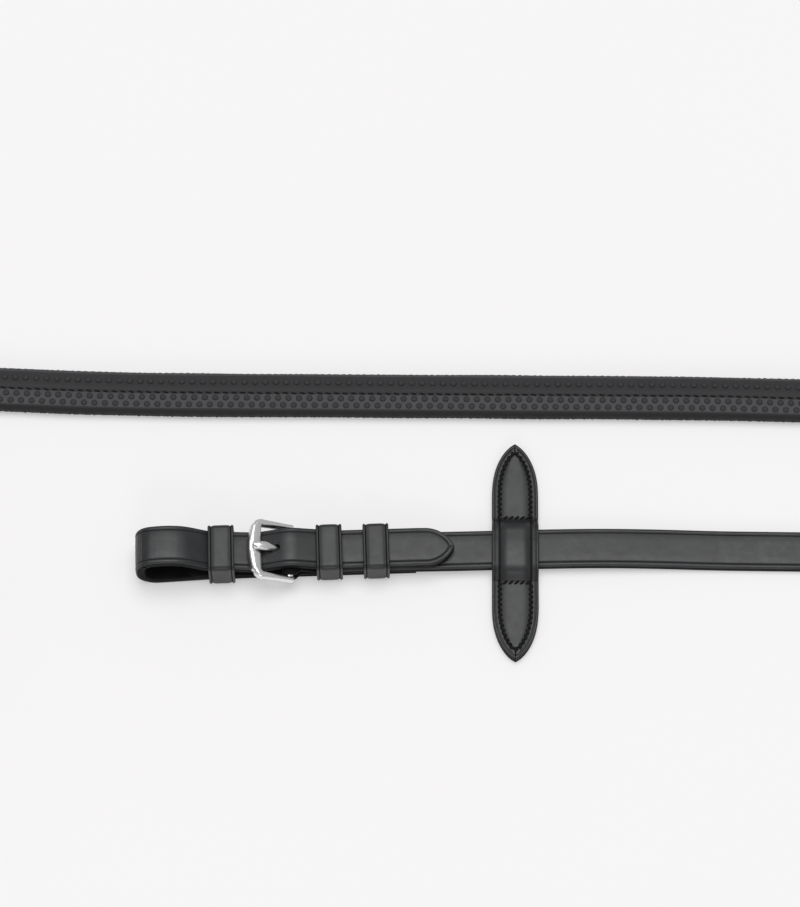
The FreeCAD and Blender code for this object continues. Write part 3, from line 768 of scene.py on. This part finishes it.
def add_rein(side):
    """One rein's leather, in one length from its bit buckle to the centre buckle."""
    if side == "left":
        first, last = FOLD_END, REIN + CENTRE_TIP
        samples = rein_samples(first, last - POINT_LENGTH)
        samples += [last - POINT_LENGTH + POINT_LENGTH * i / 16 for i in range(1, 17)]
    else:
        first, last = REIN + CENTRE_FOLD, 2 * REIN - FOLD_END
        samples = rein_samples(first, last)
    places = [LAY.place(along) for along in samples]
    outlines = [rein_outline(side, along) for along in samples]
    rein = add_strip(f"{side}_rein_leather", places, outlines, STRAP_EDGE_AND_SHADE)
    if side == "left":
        cut_out(rein, add_slot_cutter(LAY.matrix(REIN), *CENTRE_HOLE, -3.0, 12.0))
    nodes = [f"{side}_front_strap", f"{side}_grip_core", f"{side}_hand_strap"]
    finish_piece(rein, "straps", "leather", *nodes)
    path = LAY.path(first, last)
    if side == "right":
        path.reverse()


def add_fold(name, matrix, bar_x, bar_z, end_x, end_z, spread):
    """A strap's thinned end, turned round a buckle's bar on both sides of its tongue. Round the bar it
    is pressed wider than the strap by spread on each side."""
    half_thick = FOLD_THICK / 2
    radius = BAR_RADIUS + 0.17 + half_thick
    apart = 0.8
    path = [
        (end_x + 6, end_z - apart),
        (end_x, end_z - apart),
        (bar_x, bar_z - radius),
        (bar_x - radius, bar_z - radius),
        (bar_x - radius, bar_z + radius),
        (bar_x + 0.6, bar_z + radius),
        (end_x, end_z + apart),
        (end_x + 6, end_z + apart),
    ]
    line = rounded_path(path, [4, 2, 2.3, 2.3, 3, 4], 0.7)
    skins = []
    for sign in (-1, 1):
        places, outlines = [], []
        for spot, direction in line:
            outer = STRAP_HALF + spread * (1 - smooth_step(bar_x + 2, bar_x + 5, spot.x))
            places.append(side_place(spot, direction, sign * (outer + FOLD_GAP) / 2))
            outlines.append(plain_outline((outer - FOLD_GAP) / 2, -half_thick, half_thick))
        skins.append(skin(places, outlines))
    add_piece(name, joined(*skins), FLESH_AND_SHADE, matrix, "straps", "leather")


# ------------ grips


PIMPLE_PITCH = 4.28
PIMPLE_RINGS = ((1.3, -0.05), (1.26, 0.28), (1.02, 0.46), (0.5, 0.52))
PIMPLE_TOP = 0.53
PIMPLE_SIDES = 12
FLESH_ROWS = ((-2.7, 0.0), (-5.9, 0.5), (4.6, 0.25))
GRAIN_ROWS = ((-5.4, 0.0), (-1.8, 0.5), (1.8, 0.0), (5.4, 0.5))
LAP = 0.38
WAVE = 6.28  # the radians of one wave
GRIP_WAVES = ((0.004, 0.03, 0.07), (0.15, 0.6, 0.06))  # the slowest and quickest, per mm, and the highest
SEAM_PITCH = 3.5
SEAM_BEAD = (2.5, 0.75, 0.7)
# The spans of a grip's section that are pale ground (1) or a darker side wall (2)
GRIP_TONES = {1: 1, 2: 1, 9: 1, 10: 1, 12: 2, 13: 2, 23: 2, 24: 2, 25: 2}


def flesh_level(a):
    """How far the seamed side of a grip stands from its middle."""
    return GRIP_THICK / 2 + LAP * smooth_step(-0.4, -0.05, a) * (1 - smooth_step(2.3, 3.1, a))


def grip_outline(along, rough):
    """A grip's section: rounded rubber, lapped over itself beside the seam."""
    thick = GRIP_THICK / 2
    rib = 0.16 * math.sin(math.pi * along) + 0.1 * math.sin(4.1 * along)
    left, right = GRIP_HALF + rough[0], GRIP_HALF + rough[1]
    flesh = [-8.1, -7.5, -4.0, -1.1, -0.4, -0.05, 1.1, 2.3, 3.1, 7.4, 8.1]
    under = [(a, -flesh_level(a) + (0.25 if abs(a) > 8 else 0.0)) for a in flesh]
    side = [(right - 0.45, -thick + 0.85), (right + rib, -1.2), (right - rib, 0.0), (right + rib, 1.2)]
    over = [(right - 0.45, thick - 0.85), (8.1, thick - 0.25), (7.4, thick), (0.0, thick)]
    over += [(-7.4, thick), (-8.1, thick - 0.25), (-left + 0.45, thick - 0.85)]
    other = [(-left - rib, 1.2), (-left + rib, 0.0), (-left - rib, -1.2), (-left + 0.45, -thick + 0.85)]
    return under + side + over + other


def add_grip(side):
    """The rubber sleeve of one grip."""
    first, last = grip_span(side)
    draw = random.Random(11 if side == "left" else 12)
    count = round((last - first) / 0.5)
    waves = [
        (draw.uniform(slow, quick), draw.uniform(0, WAVE), draw.uniform(0.02, high))
        for slow, quick, high in GRIP_WAVES
        for _ in range(8)
    ]
    places, outlines = [], []
    for i in range(count + 1):
        along = first + (last - first) * i / count
        rough = [
            sum(size * math.sin(WAVE * rate * along + phase + 3 * k) for rate, phase, size in waves[k::2])
            for k in (0, 1)
        ]
        places.append(LAY.place(along))
        outlines.append(grip_outline(along, rough))
    verts, faces = skin(places, outlines)
    around = len(outlines[0])
    tones = [GRIP_TONES.get(i % around, 0) for i in range(len(faces))]
    materials = [RUBBER_DARK, RUBBER_PALE, RUBBER_EDGE]
    grip = add_object(f"{side}_grip_rubber", verts, faces, materials, indices=tones)
    finish_piece(grip, "straps", "rubber", f"{side}_grip_cover")


def grip_span(side):
    """Where a rein's grip begins and ends along the whole route."""
    span = (GRIP_START, GRIP_END)
    return span if side == "left" else (2 * REIN - span[1], 2 * REIN - span[0])


def add_pimples(side):
    """The round flat-topped pimples of one grip, in rows on both of its sides."""
    first, last = grip_span(side)
    verts, faces = [], []
    rows = [(a, shift, -1) for a, shift in FLESH_ROWS] + [(a, shift, 1) for a, shift in GRAIN_ROWS]
    turns = [2 * math.pi * i / PIMPLE_SIDES for i in range(PIMPLE_SIDES)]
    spots = [(math.cos(t), math.sin(t)) for t in turns]
    for a, shift, facing in rows:
        count = int((last - first - 4) / PIMPLE_PITCH)
        level = flesh_level(a) if facing < 0 else GRIP_THICK / 2
        for k in range(count):
            along = first + 3 + (k + shift) * PIMPLE_PITCH
            middle, ahead, across, grain = LAY.at(along)
            out = grain * facing
            middle = middle + across * a + out * level
            base = len(verts)
            for radius, rise in PIMPLE_RINGS:
                ring = [ahead * (c * radius) + across * (s * radius) for c, s in spots]
                verts += [middle + spoke + out * rise for spoke in ring]
            verts.append(middle + out * PIMPLE_TOP)
            faces += ring_faces(base, PIMPLE_SIDES, len(PIMPLE_RINGS))
            top = base + (len(PIMPLE_RINGS) - 1) * PIMPLE_SIDES
            faces += [(top + i, top + (i + 1) % PIMPLE_SIDES, len(verts) - 1) for i in range(PIMPLE_SIDES)]
            faces.append(tuple(base + i for i in reversed(range(PIMPLE_SIDES))))
    add_piece(f"{side}_grip_pimples", (verts, faces), RUBBER_DARK, TO_METRES, "straps", "rubber")


def beads(places, sizes):
    """Points and faces of small rounded lengths of thread, one at each (middle, long, wide, high)."""
    around, rings = 8, 6
    verts, faces = [], []
    for middle, long, wide, high in places:
        base = len(verts)
        for ring in range(rings):
            tilt = math.pi * ring / (rings - 1)
            fat = max(0.02, math.sin(tilt)) ** 0.7
            for i in range(around):
                turn = 2 * math.pi * i / around
                verts.append(
                    middle
                    - long * (math.cos(tilt) * sizes[0] / 2)
                    + wide * (math.cos(turn) * fat * sizes[1] / 2)
                    + high * (math.sin(turn) * fat * sizes[2] / 2)
                )
        faces += ring_faces(base, around, rings)
        faces.append(tuple(base + i for i in reversed(range(around))))
        faces.append(tuple(base + (rings - 1) * around + i for i in range(around)))
    return verts, faces


def add_seam(side):
    """The stitches that close one grip."""
    first, last = grip_span(side)
    draw = random.Random(21 if side == "left" else 22)
    places = []
    for k in range(int((last - first - 6) / SEAM_PITCH)):
        along = first + 3 + k * SEAM_PITCH
        middle, ahead, across, grain = LAY.at(along)
        spot = middle + across * (-0.45 + draw.uniform(-0.08, 0.08)) - grain * (GRIP_THICK / 2 + 0.12)
        long = (ahead + across * draw.uniform(0.05, 0.3)).normalized()
        places.append((spot, long, grain.cross(long), grain))
    mesh = beads(places, SEAM_BEAD)
    add_piece(f"{side}_grip_thread", mesh, THREAD, TO_METRES, "straps", "thread", f"{side}_grip_seam")


# ------------ bit ends


def billet_line():
    """The side view of a bit loop's strap, from its tail round the loop to its pointed end."""
    half = BILLET_THICK / 2
    square = (LOOP - half) * 0.62
    low = SPLICE - SKIVED
    lap = SPLICE + STRAP_THICK + half + 0.02
    points = [
        (TAIL_END, low + SKIVED / 2),
        (52.0, low + SKIVED / 2),
        (30.0, low + half),
        (LOOP - 3.2, half - 0.13),
        (half - 0.1, LOOP - square),
        (half - 0.1, LOOP + square - 0.6),
        (5.0, 2 * LOOP - half - 0.8),
        (12.5, 2 * LOOP - half + 0.3),
        (19.5, 2 * LOOP - half - 0.9),
        (29.2, 11.6),
        (48.5, 9.0),
        (61.5, 12.95),
        (80.0, lap),
        (TAIL_END, lap),
        (BILLET_TIP, lap - 0.65),
    ]
    radii = [30.0, 30.0, 6.0, 6.0, 6.0, 6.0, 24.0, 16.0, 16.0, 16.0, 10.0, 12.0, 20.0]
    return rounded_path(points, radii, 0.35)


def billet_outline(spot, on_tail):
    """The billet's section: full leather, thinned along its tail, narrowed at its pointed end."""
    half = BILLET_THICK / 2
    if on_tail:
        thick = knots([(30.0, half), (52.0, SKIVED / 2), (TAIL_END, SKIVED / 2)], spot.x)
        return leather_outline(STRAP_HALF, -thick, thick, STRAP_HALF - CREASE_IN)
    past = spot.x - (BILLET_TIP - POINT_LENGTH)
    width = ogive(POINT_LENGTH, STRAP_HALF, past)
    crease = ogive_line(POINT_LENGTH, STRAP_HALF, past, CREASE_IN)
    return leather_outline(width, -half, half, crease)


def add_billet(side):
    """The strap that makes the loop for the bit, with its tongue hole."""
    places, outlines, on_tail = [], [], True
    for spot, direction in billet_line():
        on_tail = on_tail and spot.x > 12
        places.append(side_place(spot, direction))
        outlines.append(billet_outline(spot, on_tail))
    billet = add_strip(f"{side}_billet_leather", places, outlines, STRAP_EDGE_AND_SHADE, BIT[side])
    cut_out(billet, add_slot_cutter(BIT[side], *TONGUE_HOLE, 5.5, 18.0))
    finish_piece(billet, "straps", "leather", f"{side}_billet")


def add_slot_cutter(matrix, start, end, low, high):
    """A prism with rounded ends, for the hole that a buckle's tongue goes through."""
    radius = 1.35
    turns = np.linspace(-math.pi / 2, math.pi / 2, 9)
    right = [(end - radius + radius * math.cos(t), radius * math.sin(t)) for t in turns]
    left = [(start + radius - radius * math.cos(t), -radius * math.sin(t)) for t in turns]
    places = [(UP * z, AHEAD, ACROSS) for z in (low, high)]
    cutter = add_object("cutter", *skin(places, [right + left] * 2), [FLESH_AND_SHADE], matrix)
    face_outward(cutter)
    return cutter


def add_loop_tab(side):
    """The thin lining on the lower run of the loop, with a rounded end."""
    low = SPLICE - SKIVED + BILLET_THICK
    points = [(18.8, low - 0.2), (30.0, low + 0.57), (50.0, low - 1.4)]
    places, outlines = [], []
    for spot, direction in rounded_path(points, [40.0], 1.0):
        width = STRAP_HALF * math.sqrt(max(0.02, 1 - max(0.0, (24 - spot.x) / 5.2) ** 2 * 0.75))
        places.append(side_place(spot, direction))
        outlines.append(plain_outline(width, -0.5, 0.5))
    mesh = skin(places, outlines)
    add_piece(f"{side}_loop_lining", mesh, FLESH_AND_SHADE, BIT[side], "straps", "leather", f"{side}_loop_tab")


KEEPER_EDGE_AND_SHADE = (0, 1, 4, 5)  # the spans of the next outline in the darker edge leather: its cut edge, whose darker colour is partly painted shade, and its crease, darkened as painted shade


def keeper_outline(end):
    """A keeper's section along the strap, as far as end on both sides of its middle: a domed band
    with a line creased in beside each edge."""
    half = KEEPER_WALL / 2
    right = [
        (end - 0.25, -half),
        (end, -half + 0.25),
        (end, half - 0.35),
        (end - 0.3, half + 0.1),
        (end - 0.9, half + 0.1),
        (end - 1.15, half - 0.3),
        (end - 1.4, half - 0.3),
        (end - 2.0, half),
        (end * 0.4, half + 0.1),
    ]
    return mirrored(right)


def add_keeper(name, matrix, body, middle, length, low, high):
    """A band of leather bent round the straps. low and high are its outer faces."""
    half = STRAP_HALF + KEEPER_GAP + KEEPER_WALL / 2
    bottom, top = low + KEEPER_WALL / 2, high - KEEPER_WALL / 2
    corners = [(0, bottom), (half, bottom), (half, top), (-half, top), (-half, bottom), (0, bottom)]
    line = rounded_path(corners, [2.2, 1.4, 1.4, 2.2], 2.0)[:-1]
    places = [(Vector((middle, p.x, p.y)), AHEAD, Vector((0, d.y, -d.x))) for p, d in line]
    outlines = [keeper_outline(length / 2)] * len(places)
    band = add_strip(f"{name}_band", places, outlines, KEEPER_EDGE_AND_SHADE, matrix, closed=True)
    finish_piece(band, body, "leather", f"{name}_keeper")


# ------------ buckles


def buckle_place(matrix, bar_x, bar_z, tilt):
    """A buckle piece's own millimetres, X from the bar, to metres."""
    spin = Matrix.Rotation(math.radians(tilt), 4, "Y")
    return matrix @ Matrix.Translation((bar_x, 0, bar_z)) @ spin


def add_buckle(name, matrix, bar_x, bar_z, tilt, arm):
    """A buckle's frame and its tongue, hinged on one bar."""
    add_frame(name, buckle_place(matrix, bar_x, bar_z, tilt), arm)
    add_tongue(name, buckle_place(matrix, bar_x, bar_z, tilt + TONGUE_RISE))


def add_frame(name, matrix, arm):
    """A steel buckle frame: a bowed, notched front bar, two arms and the round bar at the back."""
    window, front, back = 9.3, -17.8, 1.6
    wide, narrow, arm_half, thick = 2.75, 1.75, 1.45, 1.5
    inner = front + 2 * wide
    side_y = window + arm - arm_half
    corners = [(inner - narrow, 0), (inner - narrow, -side_y), (back, -side_y)]
    half = rounded_path(corners, [2.2], 0.5)
    line = [(Vector((s.x, -s.y)), Vector((-d.x, d.y))) for s, d in reversed(half[1:])] + half
    places, outlines = [], []
    for spot, direction in line:
        on_front = spot.x < inner - narrow + 0.02
        bow = (wide - narrow) * (1 - (spot.y / side_y) ** 2) if on_front else 0.0
        back_there = smooth_step(inner - narrow, inner + 3, spot.x)
        width = narrow + bow + (arm_half - narrow) * back_there - 0.3 * smooth_step(inner, back, spot.x)
        notch = 0.3 * (1 - smooth_step(1.7, 2.6, abs(spot.y))) if on_front else 0.0
        across = Vector((-direction.y, direction.x, 0))
        places.append((Vector((spot.x - bow, spot.y, 0)), across, UP))
        outlines.append(bar_outline(width, thick, notch))
    mesh = joined(skin(places, outlines), round_bar(BAR_RADIUS, side_y - 1.0))
    part = f"{name}_buckle_frame"
    add_piece(f"{name}_buckle_steel", mesh, STEEL, matrix, part, "steel", part)


def bar_outline(width, thick, notch):
    """A flat bar's section, with broad bevels on its upper side."""
    right = [
        (width - 0.35, -thick),
        (width, -thick + 0.4),
        (width, thick * 0.15),
        (width - 0.25, thick * 0.6),
        (width * 0.62, thick - 0.12 - notch),
        (width * 0.4, thick - notch),
    ]
    return mirrored(right)


def round_bar(radius, half_length):
    """Points and faces of a round bar across the strap."""
    turns = np.linspace(0, 2 * math.pi, 20, False)
    outline = [(radius * math.cos(t), radius * math.sin(t)) for t in turns]
    places = [(Vector((0, y, 0)), AHEAD, UP) for y in (-half_length, half_length)]
    return skin(places, [outline] * 2)


def add_tongue(name, matrix):
    """A buckle's tongue: a ring round the bar and a prong with a blunt rounded point."""
    middle, wall = 2.42, 0.57
    spokes = [Vector((math.cos(t), 0, math.sin(t))) for t in np.linspace(0, 2 * math.pi, 28, False)]
    ring = [(spoke * middle, ACROSS, spoke) for spoke in spokes]
    ring_skin = skin(ring, [plain_outline(1.5, -wall, wall)] * len(ring), closed=True)
    root, tip, steps = 2.4, 17.2, 32
    places, outlines = [], []
    for i in range(steps + 1):
        reach = root + (tip - root) * i / steps
        wide = knots([(root, 1.15), (8.0, 1.2), (12.6, 2.0), (15.6, 1.6), (tip, 0.3)], reach)
        high = knots([(root, 1.05), (15.0, 1.3), (tip, 0.5)], reach)
        under = [(wide * 0.8, -high)]
        ridge = [(wide, -0.2), (wide * 0.92, 0.3 * high), (wide * 0.6, 0.85 * high), (wide * 0.2, high)]
        bend = 1.5 * math.sin(math.pi * i / steps)
        places.append((Vector((-reach, 0, bend)), ACROSS, UP))
        outlines.append(mirrored(under + ridge))
    mesh = joined(ring_skin, skin(places, outlines))
    part = f"{name}_buckle_tongue"
    add_piece(f"{name}_tongue_steel", mesh, STEEL, matrix, part, "steel", part)


# ------------ rein stops


def stop_width(y, inside=0.0):
    """Half the width of a rein stop, or of a line drawn inside its edge, at a place along it. The
    powers give its ends full sides and a small blunt point."""
    to_tip = STOP_HALF_SPAN - inside * 1.3 - abs(y)
    past = min(1.0, max(0.0, 1 - to_tip / (STOP_POINT - inside * 1.3)))
    return (STOP_HALF - inside) * (1 - past**2.4) ** 0.72


STOP_EDGE_AND_SHADE = (0, 1, 4, 8)  # the spans of the next outline in the darker edge leather: its cut edge, whose darker colour is partly painted shade, and its crease and stitch dent, darkened as painted shade


def stop_outline(y):
    """The upper leather's section: a bevelled edge, a line creased in beside it, and a dent along
    the stitching. Over the strap the dents become the creases beside the tunnel."""
    width, half = max(0.08, stop_width(y)), STOP_THICK / 2
    border, inner = stop_width(y, BORDER_IN), stop_width(y, STITCH_IN)
    over = 1 - smooth_step(TUNNEL_HALF - 4, TUNNEL_HALF, abs(y))
    edge = min(0.4, width * 0.5)
    crease = 0.34 * min(1.0, border)
    dent = (0.3 + 0.12 * over) * min(1.0, inner)
    panel = half + 0.06 + 0.2 * over
    right = [
        (width - edge, -half),
        (width, -half + edge * 0.6),
        (width, half - edge),
        (width - edge * 0.5, half - edge * 0.2),
        (border + 0.2, half + 0.02),
        (border, half - crease),
        (border - 0.25, half),
        (inner + 0.75, half - 0.02),
        (inner + 0.3, half - dent),
        (inner - 0.3, half - dent),
        (inner - 0.75, panel - 0.04),
        (inner * 0.4, panel),
    ]
    inside = [(min(max(0.0, a), width - edge * 0.6), g) for a, g in right[4:]]
    return mirrored(right[:4] + inside)


def stop_arch():
    """The side view of the upper leather, from one tip over the strap to the other."""
    foot = 1.5 * STOP_THICK
    crown = foot + STRAP_THICK + 1.15
    shoulder = STRAP_HALF + 0.95
    span = STOP_HALF_SPAN - 0.02
    right = [(shoulder, crown - 0.5), (TUNNEL_HALF, foot), (span, foot)]
    points = [(-y, z) for y, z in reversed(right)] + [(0.0, crown + 0.25)] + right
    return rounded_path(points, [3.0, 6.0, 30.0, 6.0, 3.0], 0.4)


def stop_place(spot, direction):
    """Across a stop is along its strap."""
    return Vector((0, spot.x, spot.y)), -AHEAD, Vector((0, -direction.y, direction.x))


def add_stop(side):
    """A rein stop: two pointed leathers sewn together at their ends, with the strap between them."""
    spin = Matrix.Rotation(math.radians(STOP_TURN), 4, "Z")
    matrix = BIT[side] @ Matrix.Translation((STOP_X, 0, 0)) @ spin
    body = f"{side}_stop"
    line = stop_arch()
    places = [stop_place(*step) for step in line]
    outlines = [stop_outline(step[0].x) for step in line]
    top = add_strip(f"{side}_stop_upper", places, outlines, STOP_EDGE_AND_SHADE, matrix)
    finish_piece(top, body, "leather", f"{side}_stop_top")
    ys = np.linspace(-STOP_HALF_SPAN + 0.02, STOP_HALF_SPAN - 0.02, 90)
    half = STOP_THICK / 2
    places = [(Vector((0, y, half)), -AHEAD, UP) for y in ys]
    outlines = [plain_outline(max(0.08, stop_width(y)), -half, half - 0.02) for y in ys]
    mesh = skin(places, outlines)
    add_piece(f"{side}_stop_lower", mesh, FLESH_AND_SHADE, matrix, body, "leather", f"{side}_stop_back")
    add_stop_thread(side, matrix, body)


def stitch_line(sign):
    """The line that one end of a stop is sewn along, as points seen from above."""
    row, tip = TUNNEL_HALF + 1.0, STOP_HALF_SPAN - 3.6
    ys = np.linspace(row, tip, 60)
    right = [Vector((max(0.0, stop_width(y, STITCH_IN)), sign * y)) for y in ys]
    left = [Vector((-p.x, p.y)) for p in reversed(right)]
    return right + left


def spaced(line, pitch):
    """(point, direction) pairs evenly spaced round a closed line."""
    loop = line + line[:1]
    lengths = [0.0]
    for a, b in zip(loop, loop[1:]):
        lengths.append(lengths[-1] + (b - a).length)
    count = round(lengths[-1] / pitch)
    found = []
    for k in range(count):
        along = lengths[-1] * (k + 0.5) / count
        i = max(j for j in range(len(line)) if lengths[j] <= along)
        step = loop[i + 1] - loop[i]
        found.append((loop[i] + step * ((along - lengths[i]) / step.length), step.normalized()))
    return found


def add_stop_thread(side, matrix, body):
    """Saddle stitches, each slanted across the line of its hole."""
    level = 2 * STOP_THICK + 0.02
    slant = Matrix.Rotation(math.radians(STOP_SLANT), 2)
    places = []
    for sign in (1, -1):
        for spot, direction in spaced(stitch_line(sign), STOP_PITCH):
            long = (slant @ direction).to_3d()
            places.append((spot.to_3d() + UP * level, long, UP.cross(long), UP))
    mesh = beads(places, STOP_BEAD)
    add_piece(f"{side}_stop_thread", mesh, THREAD, matrix, body, "thread", f"{side}_stop_stitching")


# ------------ the whole


def add_bit_end(side):
    """One rein's loop, folded strap, keepers, buckle and stop."""
    add_billet(side)
    add_loop_tab(side)
    strap_z = SPLICE + STRAP_THICK / 2
    add_fold(f"{side}_front_fold", BIT[side], BAR_X, BAR_Z, FOLD_END + 0.5, strap_z, 1.95)
    for name, middle, high, body in (
        ("front", 34.2, 15.9, f"{side}_loop_keeper"),
        ("fixed", 77.4, 13.6, "straps"),
        ("slide", 96.2, 13.0, f"{side}_loose_keeper"),
    ):
        add_keeper(f"{side}_{name}", BIT[side], body, middle, BIT_KEEPER_LENGTH, 0.0, high)
    add_buckle(side, BIT[side], BAR_X, BAR_Z, FRAME_TILT, 3.6)
    add_stop(side)


def add_centre():
    """The buckle and keepers that join the two reins."""
    place = LAY.matrix(REIN)
    add_fold("right_hand_fold", place, 0.0, CENTRE_RISE, CENTRE_FOLD + 0.5, 0.0, 0.4)
    add_buckle("centre", place, 0.0, CENTRE_RISE, CENTRE_TILT, 2.3)
    low = -STRAP_THICK / 2 - KEEPER_GAP - KEEPER_WALL
    high = low + 2 * (STRAP_THICK + KEEPER_WALL) + 4 * KEEPER_GAP
    for name, start, body in (("fixed", 26.0, "straps"), ("slide", 44.0, "centre_loose_keeper")):
        matrix = LAY.matrix(REIN + start + CENTRE_KEEPER_LENGTH / 2)
        add_keeper(f"centre_{name}", matrix, body, 0.0, CENTRE_KEEPER_LENGTH, low, high)


for side in SIDES:
    add_rein(side)
    add_grip(side)
    add_pimples(side)
    add_seam(side)
    add_bit_end(side)
add_centre()
